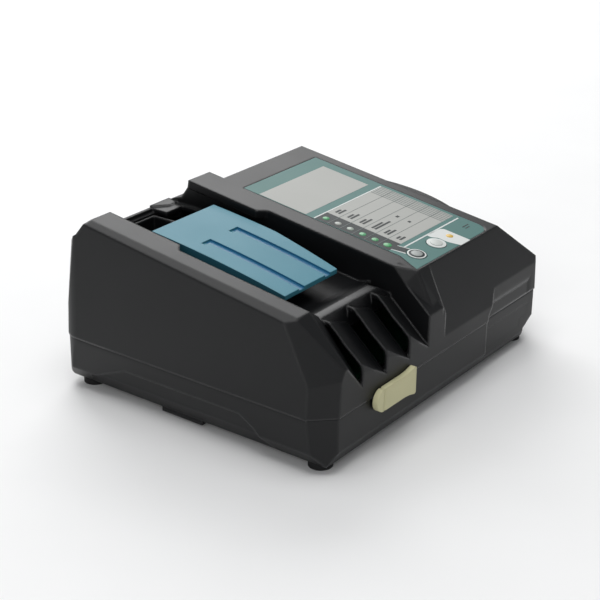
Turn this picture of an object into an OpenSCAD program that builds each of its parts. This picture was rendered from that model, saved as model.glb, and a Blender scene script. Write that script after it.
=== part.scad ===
// Fast charger for slide-on power tool batteries.
// Origin: centre of the base, on the surface it stands on.
// +X to the user's right, +Y to the back, +Z up. Millimetres and degrees.

/* [Body] */
// Overall width, side to side
body_w = 187; // [184:1:196]
// Overall depth of the case, front to back
body_d = 150; // [146:1:156]
// Height of the highest point of the rails above the table
body_h = 83.5; // [81:0.5:88]
// Fall of the top and of the battery rails towards the user
top_fall = 8; // [7:0.5:9]
// Wall thickness of both case halves
wall = 2.5; // [2:0.1:2.8]
// Height of the joint between the two case halves
parting_z = 26.8; // [26:0.2:28]
// Radius of the upright corners
corner_r = 11; // [8:0.5:12]
// Radius of the front right corner
front_r = 16; // [11:0.5:18]
// Length of the flat that cuts the front left corner, along each side
corner_flat = 10; // [7:0.5:12]
// Inward lean of both sides from the joint to the top
side_draft = 3.4; // [2:0.2:4]
// How far the upper half stands out over the lower one
parting_step = 0.5; // [0.3:0.1:0.8]
// Distance from the back face to the back end of the rails
rail_back_gap = 16.7; // [15:0.1:18]

/* [Battery bay] */
// Clear width between the two bay walls
bay_w = 62.1; // [61:0.1:63]
// Thickness of the hollow wall at the left of the bay
left_wall_w = 15.5; // [14:0.5:17]
// Depth of the bay floor below the top
bay_depth = 14.5; // [14:0.1:15.5]
// How far each rail reaches into the bay
rail_reach = 4.25; // [3.8:0.05:4.6]
// Thickness of the rails
rail_t = 4; // [3:0.1:4.5]
// Length of the rails
rail_len = 41; // [36:1:44]
// Length of the slanted lead-in at the front end of a rail
rail_lead = 3.5; // [2:0.5:5]
// Depth of the rim behind the bay below the top
rear_rim_drop = 14.8; // [14.3:0.1:16]

/* [Air intake hoods] */
// Number of hoods
hood_count = 3; // [2:1:4]
// Spacing of the hoods
hood_pitch = 18; // [16:0.5:18.5]
// Wall thickness of a hood
hood_wall = 1.5; // [1.4:0.1:2]
// Depth of the flat strip behind the hoods below the top
strip_drop = 23.2; // [22.9:0.1:24]

/* [Terminal cover] */
// Width of the cover
cover_w = 43; // [41:0.5:44]
// Length of the cover
cover_len = 74; // [72:0.5:75]
// Distance of its back edge behind the middle of the case
cover_back = 38; // [37:0.5:40]
// Thickness of the cover plate
cover_t = 2.2; // [1.8:0.1:2.4]
// Depth of its back edge below the top of the rails
cover_drop = 3.25; // [3:0.05:3.6]
// Radius of the crown along its length
cover_crown = 690; // [600:10:900]
// Width of the two grooves
groove_w = 3.7; // [3:0.1:4.5]
// Spacing of the two grooves
groove_gap = 19; // [17:0.5:21]
// Depth of the grooves
groove_depth = 0.9; // [0.5:0.1:1.2]
// How far the cover slides when a battery comes in
cover_travel = 38; // [30:1:38]

/* [Panel] */
// Width of the flat panel from the label's left edge to its rim
panel_w = 63.5; // [60:0.5:66]
// Slope of the shoulder at the right of the panel
shoulder_angle = 37; // [34:1:40]
// Thickness of the label
label_t = 0.5; // [0.3:0.1:0.8]
// Radius of the two buttons
button_r = 4.6; // [4:0.1:5]
// Travel of the buttons
button_travel = 0.6; // [0.4:0.1:0.8]
// Number of lamps in the column
lamp_count = 6; // [4:1:6]
// Spacing of the lamps
lamp_pitch = 6.8; // [6.4:0.1:7]
// Radius of a lamp window
lamp_r = 1.3; // [1:0.1:1.5]

/* [USB outlet] */
// Position of the outlet along the front
usb_x = -46; // [-48:0.5:-44]
// Height of the middle of the outlet
usb_z = 23.5; // [23:0.1:23.6]
// Thickness of its rubber cap
cap_t = 3; // [2.5:0.1:3.5]
// Height of the cap
cap_h = 10.4; // [9:0.1:11]

/* [Feet and screws] */
// Height of the feet under the base
foot_h = 3.5; // [3:0.1:4.5]
// Radius of the feet
foot_r = 5.4; // [4.5:0.1:5.8]
// Distance of the case screws from the middle, side to side
screw_x = 80; // [79:0.5:81]
// Distance of the case screws from the middle, front to back
screw_y = 45; // [42:1:50]
// Radius of the screws' shanks
screw_r = 1.55; // [1.3:0.05:1.8]

/* [Inside] */
// Size of the square fan
fan_w = 40; // [38:1:40]
// Thickness of the fan
fan_t = 11; // [10:0.5:12]
// Thickness of the circuit boards
board_t = 1.6; // [1:0.1:2]
// Height of the main board's underside
board_z = 12; // [11:0.5:13]
// Radius of the mains lead's hole in the gland
cord_r = 3.75; // [3:0.05:4]

/* [Hidden] */
$fn = 48;

fit = 0.3;                                  // gap between pieces that only lie together
half_w = body_w / 2;
half_d = body_d / 2;
crest_y = half_d - rail_back_gap;           // back end of the rails
bay_x0 = -half_w + left_wall_w;
bay_x1 = bay_x0 + bay_w;
bay_x = (bay_x0 + bay_x1) / 2;
panel_x0 = bay_x1 + 10.4;                   // right edge of the strip beside the bay
rim_x = panel_x0 + panel_w;                 // where the right shoulder starts
knee_y = -half_d + 19.7;                    // front end of the top beside the bay
panel_front_y = -half_d + 10;               // front edge of the panel
panel_back_y = crest_y - 8.8;
inner_top = 100;                            // above everything
base_z = foot_h;
skirt_z = base_z + 7;                       // where the side starts to turn under
side_lean = atan(side_draft / (body_h - parting_z));
outlet_z = parting_z + 7.2;                 // foot of the sloping fronts
rear_rim_z = body_h - rear_rim_drop;
strip_z = body_h - strip_drop;
hood_rise = (strip_z - outlet_z) / 26.3;    // scale of the hoods' outline
hood_x0 = bay_x0 + 11;                      // first hood's open edge
strip_back_y = -half_d + 26;
strip_front_y = strip_back_y - 4.4;
floor_front_y = strip_back_y + 12;          // where the bay floor starts to rise
blue = "#4f93a6";
black = "#1d1e20";
grey = "#3b3d40";

// Height of the top at a distance y from the middle
function top_z(y) = body_h - tan(top_fall) * (crest_y - y);
// Height of the bay floor
function floor_z(y) = top_z(y) - bay_depth;
// Left-hand normal of the edge from a to b
function edge_normal(a, b) = [a[1] - b[1], b[0] - a[0]] / norm(b - a);
// Outline drawn in by d on every side; p runs anticlockwise
function inset(p, d) = [for (i = [0 : len(p) - 1])
    let (n = len(p), u = edge_normal(p[(i + n - 1) % n], p[i]), v = edge_normal(p[i], p[(i + 1) % n]))
    p[i] + d * (u + v) / (1 + u * v)];

// A (y, z) outline extruded from x0 to x1
module along_x(x0, x1, outline) {
    translate([x0, 0, 0]) rotate([90, 0, 90]) linear_extrude(x1 - x0) polygon(outline);
}
// An (x, z) outline extruded from y0 to y1
module along_y(y0, y1, outline) {
    translate([0, y1, 0]) rotate([90, 0, 0]) linear_extrude(y1 - y0) polygon(outline);
}
// A skin over (y, z) outlines of as many points each, given as [x, outline] from left to right
module loft_x(sections) {
    n = len(sections[0][1]);
    m = len(sections);
    polyhedron(
        points = [for (s = sections, p = s[1]) [s[0], p[0], p[1]]],
        faces = concat([[for (i = [0 : n - 1]) i]], [[for (i = [0 : n - 1]) m * n - 1 - i]],
            [for (k = [0 : m - 2], i = [0 : n - 1]) [k * n + i, (k + 1) * n + i,
                (k + 1) * n + (i + 1) % n]],
            [for (k = [0 : m - 2], i = [0 : n - 1]) [k * n + i, (k + 1) * n + (i + 1) % n,
                k * n + (i + 1) % n]]));
}
// Children drawn on the sloping top: x stays, y runs up the slope from the middle of the case, z is the normal
module on_top() {
    translate([0, crest_y, body_h]) rotate([top_fall, 0, 0]) translate([0, -crest_y / cos(top_fall),
        0]) children();
}
// Distance along the slope that stands over a distance y from the middle
function slope_y(y) = y / cos(top_fall);
module box(x0, x1, y0, y1, z0, z1) {
    translate([x0, y0, z0]) cube([x1 - x0, y1 - y0, z1 - z0]);
}

// Plan of the case, drawn in by d
module plan(d) {
    w = half_w - d;
    h = half_d - d;
    c = corner_flat - d * (2 - sqrt(2));
    r = corner_r - d;
    f = front_r - d;
    polygon([[-w, -h + c], [-w + c, -h], [w - f, -h], [w, -h + f], [w, h - r], [w - r, h], [-w + r, h],
        [-w, h - r]]);
    translate([w - f, -h + f]) circle(f);
    translate([w - r, h - r]) circle(r);
    translate([-w + r, h - r]) circle(r);
}

// Left and right halves of the plan, each open to the other side
module left_plan(d) {
    w = half_w - d;
    h = half_d - d;
    r = corner_r - d;
    c = corner_flat - d * (2 - sqrt(2));
    polygon([[-w, -h + c], [-w + c, -h], [200, -h], [200, h], [-w + r, h], [-w, h - r]]);
    translate([-w + r, h - r]) circle(r);
}
module right_plan(d) {
    w = half_w - d;
    h = half_d - d;
    r = corner_r - d;
    f = front_r - d;
    polygon([[-200, -h], [w - f, -h], [w, -h + f], [w, h - r], [w - r, h], [-200, h]]);
    translate([w - f, -h + f]) circle(f);
    translate([w - r, h - r]) circle(r);
}
// Children's plan raised to a body that leans about the line where the case halves meet
module leaning(side, d) {
    x = side * (half_w - d);
    translate([x, 0, parting_z]) rotate([0, -side * side_lean, 0]) translate([-x, 0, -40])
        linear_extrude(160) children();
}

// Side outlines of the zones, anticlockwise in (y, z), from a floor at z0
function left_outline(z0) = [[-half_d, z0], [half_d, z0], [half_d, rear_rim_z], [half_d - 2.5,
    rear_rim_z + 2],
    [crest_y + 5.3, body_h - 6.8], [crest_y, body_h], [knee_y, top_z(knee_y)], [-half_d, outlet_z + 13.5]];
function divider_outline(z0) = [[-half_d, z0], [half_d, z0], [half_d, rear_rim_z], [half_d - 2.5,
    rear_rim_z + 1.5],
    [crest_y + 8.3, body_h - 11.4], [crest_y + 2, body_h - 2.4], [crest_y, body_h],
    [knee_y, top_z(knee_y)], [knee_y - 6.4, top_z(knee_y) - 6.8], [-half_d, outlet_z + 15]];
function lip_outline(z0, y1) = [[-half_d, z0], [y1, z0], [y1, top_z(y1)],
    [panel_front_y, top_z(panel_front_y)], [-half_d, outlet_z + 11.3]];
function block_outline(z0) = [[-half_d, z0], [half_d, z0], [half_d, body_h - 21.5],
    [panel_back_y, top_z(panel_back_y)], [panel_front_y, top_z(panel_front_y)], [-half_d, outlet_z]];
function bay_outline(z0) = [[-half_d, z0], [half_d, z0], [half_d, rear_rim_z], [crest_y - 1, rear_rim_z],
    [floor_front_y, floor_z(floor_front_y)], [floor_front_y - 3.5, floor_z(floor_front_y) + 0.6],
    [strip_back_y + 4, strip_z - 2.2], [strip_back_y, strip_z], [strip_front_y, strip_z],
    [strip_front_y - 1, strip_z - 8], [-half_d, outlet_z]];

// Everything that the sloping cuts take off, moved in by d
module shoulder_cuts(d) {
    on_top() {
        // right shoulder
        translate([rim_x - d * tan(shoulder_angle / 2), 0, -d]) rotate([0, shoulder_angle, 0])
            box(0, 90, -100, 90, 0, 60);
        // soft edge along the left side
        translate([-half_w + side_draft + 4 + 0.3 * d, 0, -0.95 * d]) rotate([0, -18, 0])
            box(-60, 0, -100, 90, 0, 60);
    }
    // rear left corner, leaning in
    translate([-half_w + 0.293 * corner_r, half_d - 0.293 * corner_r, 41]) rotate([0, 0,
        135]) rotate([0, -6, 0])
        box(-0.6 - d, 40, -40, 40, -10, 60);
    // front left corner, above its upright flat
    translate([-half_w + 13, -half_d, outlet_z + 13]) rotate([0, 0, 42]) rotate([0, -68, 0])
        box(-60, 90, -90, 90, -d, 60);
}

// The upper half as one block, drawn in by d, from the height z0, with what else stands on it
module upper_block(d, z0) {
    difference() {
        intersection() {
            box(-half_w, half_w, -half_d, half_d, z0, inner_top);
            leaning(-1, d) left_plan(d);
            leaning(1, d) right_plan(d);
            union() {
                along_x(-half_w + d, bay_x0 - d, inset(left_outline(z0 - d), d));
                along_x(bay_x0 - d - 1, bay_x1 + d + 1, inset(bay_outline(z0 - d), d));
                along_x(bay_x1 + d, panel_x0 + 1 - d, inset(divider_outline(z0 - d), d));
                along_x(panel_x0 - 6 + d, panel_x0 + 3.2 - d, inset(lip_outline(z0 - d, 30), d));
                along_x(panel_x0 - d, half_w - d, inset(block_outline(z0 - d), d));
                children();
            }
        }
        shoulder_cuts(d);
    }
}

// Free edge of a hood, from its back end over the nose to its foot
hood_edge = [[strip_front_y + 1, strip_z - 0.4], [strip_front_y - 4, strip_z - 1],
    [strip_front_y - 8.1, strip_z - 4.5 * hood_rise], [strip_front_y - 11.8, strip_z - 8.3 * hood_rise],
    [-half_d + 5, outlet_z + 14.3 * hood_rise], [-half_d + 1, outlet_z + 11 * hood_rise],
    [-half_d - 1, outlet_z + 4 * hood_rise], [-half_d - 1, outlet_z]];
// Low side of a hood, with as many points
hood_root = [[strip_front_y + 1, strip_z - 8.3], [strip_front_y - 1, strip_z - 8.3],
    for (t = [0.2 : 0.2 : 0.8])
    [strip_front_y - 1, strip_z - 8.3] * (1 - t) + [-half_d, outlet_z - 0.3] * t,
    [-half_d - 1, outlet_z - 0.9], [-half_d - 1, outlet_z - 2]];
function hood_side(edge) = concat([[strip_front_y + 1, outlet_z - 4]], edge, [[-half_d - 1, outlet_z - 4]]);
function hood_x(i) = hood_x0 + i * hood_pitch;
function hood_end(i) = i < hood_count - 1 ? hood_x(i + 1) : bay_x1;

module hoods() {
    loft_x([for (i = [0 : hood_count - 1], e = [0, 1])
        e == 0 ? [hood_x(i), hood_side(hood_edge)] : [hood_end(i) - 0.05, hood_side(hood_root)]]);
}
// The space under the hoods, open at their left edges
module hood_mouths() {
    edge = [for (p = hood_edge) [max(p[0], -half_d + hood_wall) , p[1]] + [0, -hood_wall * 1.15]];
    root = [for (p = hood_root) [max(p[0], -half_d + hood_wall) , p[1]] + [0, -hood_wall * 1.4]];
    for (i = [0 : hood_count - 1])
        intersection() {
            loft_x([[hood_x(i) - 0.1, mouth_side(edge)], [hood_end(i) - hood_wall, mouth_side(root)]]);
            box(hood_x(i) - 0.1, bay_x1, -half_d + hood_wall, strip_front_y - 0.8, outlet_z + 0.8, strip_z);
        }
}
function mouth_side(edge) = concat([[strip_front_y + 1, outlet_z - 12]], edge, [[-half_d + hood_wall,
    outlet_z - 12]]);

// Facet from the left wall's crest down to the first hood
module left_ramp() {
    crest = [[-half_d - 1, outlet_z - 3], [strip_back_y, outlet_z - 3], [strip_back_y, top_z(strip_back_y)],
        [knee_y, top_z(knee_y)], [-half_d - 1, outlet_z + 12.5]];
    foot = [[-half_d - 1, outlet_z - 3], [strip_back_y, outlet_z - 3], [strip_back_y, strip_z - 0.2],
        [strip_front_y + 0.8, strip_z - 0.2], [-half_d - 1, outlet_z - 1]];
    loft_x([[bay_x0 - 0.4, crest], [hood_x0 + 0.5, foot]]);
}
// Facet from the bay's right wall out to the panel's front corner
module right_ramp() {
    low = [[-half_d - 1, outlet_z - 2], [knee_y + 4, outlet_z - 2], [knee_y + 4, top_z(knee_y + 4)],
        [knee_y, top_z(knee_y)], [knee_y - 6.4, top_z(knee_y) - 6.8], [-half_d - 1, outlet_z + 14.1]];
    function high(y, z) = [[-half_d - 1, outlet_z - 2], [knee_y + 4, outlet_z - 2], [knee_y + 4,
        top_z(knee_y + 4)],
        [y, top_z(y)], [panel_front_y, top_z(panel_front_y)], [-half_d - 1, z]];
    loft_x([[bay_x1, low], [panel_x0 - 5.4, high(knee_y - 5, outlet_z + 11.3)],
        [panel_x0 + 3.1, high(knee_y - 7, outlet_z + 9.3)]]);
}

// One rail along the bay; it is drawn at the left and mirrored for the right
module rail() {
    y1 = slope_y(crest_y);
    on_top() translate([bay_x0, 0, -rail_t]) linear_extrude(rail_t)
        polygon([[-0.5, y1 - rail_len - rail_lead], [0, y1 - rail_len - rail_lead], [rail_reach,
            y1 - rail_len],
            [rail_reach, y1], [-0.5, y1]]);
}

function screw_places() = [for (x = [-screw_x, screw_x], y = [-screw_y, screw_y]) [x, y]];
module at_screws() {
    for (p = screw_places()) translate([p[0], p[1], 0]) children();
}

step_x = panel_x0 + 43;
front_step = 2.2;
lamp_x = panel_x0 + 4.5;
lamp_y = panel_front_y + 22.9;
button_y = panel_front_y + 9.2;
sound_x = panel_x0 + 7.4;
usb_button_x = sound_x + 16.5;
service_lamp_x = usb_button_x + 11.5;
function lamp_places() = concat([for (i = [0 : lamp_count - 1]) [lamp_x,
    lamp_y + (lamp_count - 1 - i) * lamp_pitch]],
    [[service_lamp_x, button_y]]);

duct_x0 = bay_x0 + 4;
duct_x1 = duct_x0 + fan_w + 3.5;
duct_y1 = half_d - 3.7;
duct_y0 = duct_y1 - 24;
fan_x = (duct_x0 + duct_x1) / 2;
fan_y = half_d - 3.5 - fan_w / 2;
fan_top = rear_rim_z - 11.7;
post_top = body_h - 37.5;
spring_r = 2.4;
stop_y = crest_y - 58.3;                    // datum of the bay's fittings, from the battery's back stop
runner_y0 = stop_y + 12;
runner_y1 = stop_y + 25;
spring_end_y = strip_back_y + 3;

module upper_case() {
    color(black) difference() {
        union() {
            difference() {
                upper_block(0, parting_z) {
                    hoods();
                    left_ramp();
                    right_ramp();
                }
                difference() {
                    upper_block(wall, parting_z - 1);
                    at_screws() cylinder(r = 3.6, h = post_top);
                    box(bay_x1 - 12, bay_x1 + 2, strip_front_y - 1, strip_back_y + 7, strip_z - 10,
                        strip_z);
                    for (p = screw_places()) box(min(p[0], sign(p[0]) * half_w), max(p[0],
                        sign(p[0]) * half_w),
                        p[1] - 1, p[1] + 1, 0, post_top);
                }
            }
            rail();
            translate([2 * bay_x, 0, 0]) mirror([1, 0, 0]) rail();
            // corner block of the rim behind the bay
            intersection() {
                along_x(bay_x1 - 13.2, bay_x1 + 0.5, [[crest_y + 7, rear_rim_z - 6], [half_d,
                    rear_rim_z - 6],
                    [half_d, rear_rim_z + 1], [half_d - 6, rear_rim_z + 0.8], [crest_y + 7,
                        rear_rim_z - 4.5]]);
                linear_extrude(inner_top) polygon([[bay_x1 - 13.2, half_d], [bay_x1 - 1.6, half_d - 9.5],
                    [bay_x1 + 0.5, half_d - 9.5], [bay_x1 + 0.5, half_d]]);
            }
            // bulge of the rim beside the panel
            intersection() {
                on_top() translate([rim_x - 56.3, slope_y(-20), -7]) cylinder(r = 60, h = 6.6, $fn = 180);
                translate([0, 0, parting_z]) linear_extrude(inner_top) plan(wall);
                on_top() box(rim_x - 4, rim_x + 10, slope_y(-44), slope_y(4), -8, 0);
            }
            // seats of the two springs
            for (x = spring_places())
                on_top() box(x - 3.4, x + 3.4, slope_y(spring_end_y - 2), slope_y(spring_end_y),
                    -bay_depth - wall - 7.2, -bay_depth + 2.6);
            // posts of the panel board
            for (p = panel_posts())
                on_top() translate([p[0], p[1], -panel_board_drop]) cylinder(r = 2.6,
                    h = panel_board_drop - 1);
        }
        hood_mouths();
        // room over the hoods for the cover to slide out
        on_top() box(bay_x - cover_w / 2 - 0.6, bay_x + cover_w / 2 + 0.6, -110,
            slope_y(floor_front_y + 2), -7.7, 20);
        // the strip's right end falls away to the bay wall
        along_y(strip_front_y - 2, strip_back_y + 6, [[bay_x1 - 11, strip_z + 0.05], [bay_x1 - 8,
            strip_z - 1],
            [bay_x1, strip_z - 6.5], [bay_x1, strip_z + 4], [bay_x1 - 11, strip_z + 4]]);
        // air outlet
        box(duct_x0 - 1.4, duct_x1 + 1.4, duct_y0 - 1.4, duct_y1 + 0.6, 60, rear_rim_z + 5);
        box(duct_x1, bay_x1 - 1.6, duct_y0 - 1.4, crest_y + 6, 60, rear_rim_z + 5);
        // shallow ledge round the air outlet
        box(duct_x0 - 3.6, duct_x1 + 1.4, crest_y + 2, duct_y1 + 2, rear_rim_z - 1.9, rear_rim_z + 5);
        // opening for the terminals
        on_top() box(bay_x - 13.8, bay_x + 13.8, slope_y(stop_y - 7), slope_y(stop_y + 26.3),
            -bay_depth - 6, -bay_depth + 3);
        // slots for the cover's runners
        for (s = [-1, 1])
            on_top() translate([bay_x + s * (cover_w / 2 - 1), 0, 0])
                box(-1.4, 1.4, slope_y(runner_y0 - cover_travel) - 0.6, slope_y(runner_y1) + 0.6,
                    -bay_depth - 6, -bay_depth + 1.5);
        // bed of the label and the holes in it
        on_top() translate([0, 0, -label_t]) linear_extrude(5) label_shape(0.15);
        on_top() {
            for (p = lamp_places()) translate([p[0], slope_y(p[1]), -20]) cylinder(r = lamp_r + 0.15,
                h = 30);
            for (x = [sound_x, usb_button_x])
                translate([x, slope_y(button_y), -20]) cylinder(r = button_r + fit, h = 30);
            for (p = panel_posts()) translate([p[0], p[1], -panel_board_drop - 1]) cylinder(r = 1.05,
                h = 7);
        }
        // step in the lower right of the front
        along_y(-half_d - 1, -half_d + front_step, [[step_x - 1, parting_z - 1], [half_w + 1,
            parting_z - 1],
            [half_w + 1, outlet_z + 30], [step_x + 14, outlet_z + 30], [step_x + 11, outlet_z + 9],
            [step_x + 7.5, outlet_z + 7], [step_x + 5.5, outlet_z + 4], [step_x + 3, outlet_z],
            [step_x + 0.8, outlet_z - 2.5], [step_x, outlet_z - 4]]);
        at_screws() translate([0, 0, parting_z - 1]) cylinder(r = screw_r + 0.05,
            h = post_top - parting_z - 1);
    }
}

function spring_places() = [bay_x - cover_w / 2 + 4.2, bay_x + cover_w / 2 - 4.2];
panel_board_drop = 11;
function panel_posts() = [[panel_x0 + 2, slope_y(-2)], [panel_x0 + 52, slope_y(-2)],
    [panel_x0 + 52, slope_y(panel_front_y + 13)]];

// Outline of the label on the panel, grown by d
module label_shape(d) {
    x0 = panel_x0 - d;
    x1 = panel_x0 + 57.5 + d;
    y0 = slope_y(panel_front_y + 1.2) - d;
    y1 = slope_y(crest_y - 21.8) + d;
    r = 6;
    difference() {
        union() {
            polygon([[x0, y0 + 12], [x0 - 5, y0], [x1 - r, y0], [x1, y0 + r], [x1, y1], [x0, y1]]);
            translate([x1 - r, y0 + r]) circle(r);
        }
    }
}

module lower_block(d) {
    w = half_w - parting_step - d;
    h = half_d - parting_step - d;
    z = base_z + d;
    t = 0.45 * d;
    intersection() {
        translate([0, 0, z]) linear_extrude(parting_z - base_z) plan(parting_step + d);
        along_y(-half_d, half_d, [[-w, parting_z + 9], [-w, parting_z - 2], [-w + 1.2, skirt_z + t],
            [-w + 7 - t, z],
            [w - 7 + t, z], [w - 1.2, skirt_z + t], [w, parting_z - 2], [w, parting_z + 9]]);
        along_x(-half_w, half_w, [[-h, parting_z + 9], [-h, skirt_z + t], [-h + 4 - t, z], [h - 1.5,
            z], [h, z + 1.5],
            [h, parting_z + 9]]);
    }
}

// Children at the outermost point of the front right corner, x pointing out
module front_right() {
    c = front_r - parting_step;
    translate([half_w - front_r, -half_d + front_r, 0]) rotate([0, 0, -53.7]) translate([c, 0,
        0]) children();
}
foot_x = half_w - 13.5;
function foot_places() = [[-foot_x, -half_d + 11.7], [foot_x, -half_d + 11.7], [-foot_x, half_d - 9],
    [foot_x, half_d - 9]];
function board_posts() = [[-66, -37], [66, -37], [-66, 58], [66, 58]];
gland_x = half_w - 30;
gland_z = 15;

module lower_case() {
    color(black) difference() {
        union() {
            difference() {
                intersection() {
                    lower_block(0);
                    box(-half_w, half_w, -half_d, half_d, 0, parting_z);
                }
                difference() {
                    lower_block(wall);
                    at_screws() cylinder(r = 4.6, h = parting_z);
                    for (p = board_posts()) translate([p[0], p[1], 0]) cylinder(r = 3.4, h = board_z);
                    box(usb_x - 14.5, usb_x - 12.5, -half_d, -48, 0, usb_z - 2.85 - board_t);
                    box(usb_x + 10.5, usb_x + 12.5, -half_d, -48, 0, usb_z - 2.85 - board_t);
                    front_right() box(-8.5, 10, -40, 40, 0, 15.5);
                }
            }
            // ridge that locates the upper half
            difference() {
                translate([0, 0, parting_z - 5]) linear_extrude(7) plan(wall + parting_step + 0.3 - 0.5);
                translate([0, 0, parting_z - 6]) linear_extrude(9) plan(wall + parting_step + 1.4);
                box(-half_w + 0, half_w, -half_d, half_d, parting_z, inner_top);
            }
            // long low rest under the left side
            box(-half_w + 8, -half_w + 11, -3, 20, 1, base_z + 0.5);
        }
        // finger recess along the left side
        intersection() {
            along_x(-half_w - 1, -half_w + 9, [[-45, base_z - 1], [64, base_z - 1], [58, base_z + 5.4],
                [36, skirt_z + 7.8], [-29, skirt_z + 7.8], [-37, skirt_z + 2.6]]);
            along_y(-46, 65, [[-half_w - 1, base_z - 1], [-half_w + 8.2, base_z - 1], [-half_w + 3.6,
                skirt_z],
                [-half_w + parting_step + 0.9, skirt_z + 9], [-half_w - 1, skirt_z + 9]]);
        }
        // front right corner turned under
        front_right() along_y(-40, 40, [[0, 13.5], [-5.2, 8.7], [-5.2, 0], [20, 0], [20, 13.5]]);
        // step in the right of the front
        box(step_x - 0.5, half_w + 1, -half_d - 1, -half_d + front_step, 0, parting_z + 1);
        at_screws() {
            cylinder(r = 3.6, h = 15);
            cylinder(r = screw_r + 0.5, h = 40);
        }
        for (p = board_posts()) translate([p[0], p[1], board_z - 5]) cylinder(r = 1.3, h = 6);
        // seats of the feet
        for (p = foot_places()) translate([p[0], p[1], base_z - 1]) cylinder(r = foot_r - 0.6, h = 1 + 1.2);
        // notch of the outlet
        box(usb_x - 6.9, usb_x + 6.9, -half_d - 1, -half_d + 6, usb_z - 3.15, parting_z + 1);
        // hole of the cap's stem
        translate([cap_x0 + 3, -half_d - 1, cap_z - 2.5]) rotate([-90, 0, 0]) cylinder(r = 1.25, h = 6);
        // hole of the gland
        translate([gland_x, half_d + 1, gland_z]) rotate([90, 0, 0]) cylinder(r = cord_r + 2.05, h = 10);
        // vents in the right side and in the base
        for (i = [0 : 7])
            box(half_w - 6, half_w + 1, -24 + 7 * i, -20.5 + 7 * i, skirt_z + 2, parting_z - 4.5);
        for (i = [0 : 9])
            box(10 + 5.5 * i, 12.5 + 5.5 * i, -30, 5, 0, base_z + wall + 1);
    }
}

// Terminal cover: arched plate with side walls and two runners that reach through the bay floor
module terminal_cover() {
    y1 = slope_y(cover_back);
    len = cover_len / cos(top_fall);
    // angle of the arc at the back edge, where it falls less than the rails do
    a0 = 2.1;
    arc = len / cover_crown * 180 / PI;
    steps = 12;
    groove_end = slope_y(cover_back - 22);
    function crown(t, depth) = [y1 - cover_crown * (sin(a0) + sin(t - a0)) + depth * 0 - depth * sin(t - a0),
        -cover_drop + cover_crown * (cos(t - a0) - cos(a0)) - depth * cos(t - a0)];
    top_line = [for (i = [0 : steps]) crown(arc * i / steps, 0)];
    under_line = [for (i = [0 : steps]) crown(arc * (steps - i) / steps, cover_t)];
    color(blue) on_top() {
        difference() {
            union() {
                along_x(bay_x - cover_w / 2, bay_x + cover_w / 2, concat(top_line, under_line));
                // side lips and the deeper walls at the back
                for (s = [-1, 1]) translate([bay_x + s * (cover_w / 2 - 1), 0, 0])
                    along_x(-1, 1, concat([for (i = [0 : steps]) crown(arc * i / steps, cover_t / 2)],
                        [[y1 - len + 0.6, -7.1], [slope_y(4), -7.1], [slope_y(1), -bay_depth + fit],
                        [y1, -bay_depth + fit]]));
            }
            // the right edge draws in towards the front
            translate([bay_x + cover_w / 2, slope_y(2), 0]) rotate([0, 0, -7.5]) box(0, 20, -60, 0,
                -20, 10);
            for (s = [-1, 1]) {
                difference() {
                    along_x(bay_x + s * groove_gap / 2 - groove_w / 2,
                        bay_x + s * groove_gap / 2 + groove_w / 2,
                        concat([for (p = top_line) p + [0, 3]],
                        [for (i = [steps : -1 : 0]) crown(arc * i / steps, groove_depth)]));
                    box(-half_w, 0, groove_end, half_d, -30, 10);
                }
                // hooked back end of the groove
                translate([bay_x + s * groove_gap / 2 - groove_w / 2 - 2.6, groove_end - 2.6,
                    -2.6 - groove_depth])
                    cube([3, 2.6, 5]);
            }
        }
        // runners with their feet under the bay floor
        for (s = [-1, 1]) translate([bay_x + s * (cover_w / 2 - 1), 0, 0]) {
            box(-1, 1, slope_y(runner_y0), slope_y(runner_y1), -bay_depth - wall - 3.4, -bay_depth + 2);
            translate([-s * 2.6, 0, 0]) box(-3.1, 3.1, slope_y(runner_y0), slope_y(runner_y1),
                -bay_depth - wall - 5.1, -bay_depth - wall - 1.7);
        }
        along_x(bay_x - cover_w / 2, bay_x + cover_w / 2, [[y1 - 2, -6.9], [y1, -6.9], [y1, -4.4],
            [y1 - 2, -4.4]]);
    }
}

// The two return springs in front of the runners
module cover_springs() {
    y0 = slope_y(spring_end_y) + 0.2;
    y1 = slope_y(runner_y0) - 0.2;
    color("silver") on_top() for (x = spring_places())
        translate([x, y1, -bay_depth - wall - 3.4]) rotate([90, 0, 0]) difference() {
            cylinder(r = spring_r, h = y1 - y0);
            translate([0, 0, -1]) cylinder(r = spring_r - 0.7, h = y1 - y0 + 2);
        }
}

blade_x = groove_gap / 2;
module terminal_block() {
    // two legs stand on the main board
    color(grey) for (s = [-1, 1]) translate([bay_x + s * 15, stop_y + 9, board_z + board_t])
        box(-1.5, 1.5, -2, 2, 0, floor_z(stop_y + 10) - wall - 7.6 - board_z - board_t);
    color(grey) on_top() difference() {
        union() {
            box(bay_x - 13.4, bay_x + 13.4, slope_y(stop_y - 6.6), slope_y(stop_y + 25.9),
                -bay_depth - wall - 4, -bay_depth);
            box(bay_x - 10, bay_x + 10, slope_y(stop_y + 20), slope_y(stop_y + 25.9), -bay_depth - 1,
                -bay_depth + 4);
            box(bay_x - 18, bay_x + 18, slope_y(stop_y - 10), slope_y(stop_y + 23),
                -bay_depth - wall - 8.9, -bay_depth - wall - 6.3);
            box(bay_x - 12, bay_x + 12, slope_y(stop_y - 6), slope_y(stop_y + 23),
                -bay_depth - wall - 8, -bay_depth - wall - 3);
        }
        for (s = [-1, 1])
            box(bay_x + s * blade_x - 0.65, bay_x + s * blade_x + 0.65, slope_y(stop_y + 1) - 0.15,
                slope_y(stop_y + 23) + 0.15,
                -bay_depth - 30, -bay_depth + 10);
        box(bay_x - 4.15, bay_x + 4.15, slope_y(stop_y + 4) - 0.15, slope_y(stop_y + 18) + 0.15,
            -bay_depth - 3, -bay_depth + 10);
    }
}
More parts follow.
